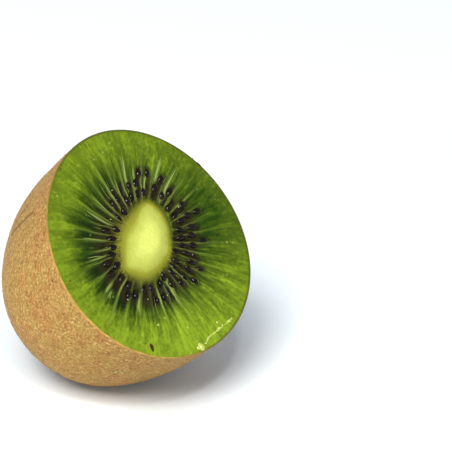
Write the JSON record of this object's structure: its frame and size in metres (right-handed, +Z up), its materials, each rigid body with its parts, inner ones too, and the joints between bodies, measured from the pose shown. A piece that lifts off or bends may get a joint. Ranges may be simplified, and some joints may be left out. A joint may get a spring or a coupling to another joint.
{
  "type": "kiwi fruit half",
  "caption": "Half of a green kiwi fruit, cut across its middle: pale core, ring of dark seeds and hairy brown skin, lying on its skin with the cut face tilted up.",
  "frame": {"origin": "middle of the small flat spot of skin that the half rests on", "axes": "+Z up; the cut face looks towards -Y and up, tilted 47 degrees from level; +X runs level along the cut face, to the right seen from the front"},
  "size_m": [0.0512, 0.0528, 0.0525],
  "materials": {
    "flesh": "moist translucent green fruit flesh",
    "core": "moist pale yellow-green fruit core",
    "skin": "dry brown fruit skin with short hairs",
    "seed": "wet near-black seeds",
    "juice": "clear yellow-green fruit juice"
  },
  "bodies": {
    "root": {"kiwi_half": "flesh"}
  },
  "joints": []
}
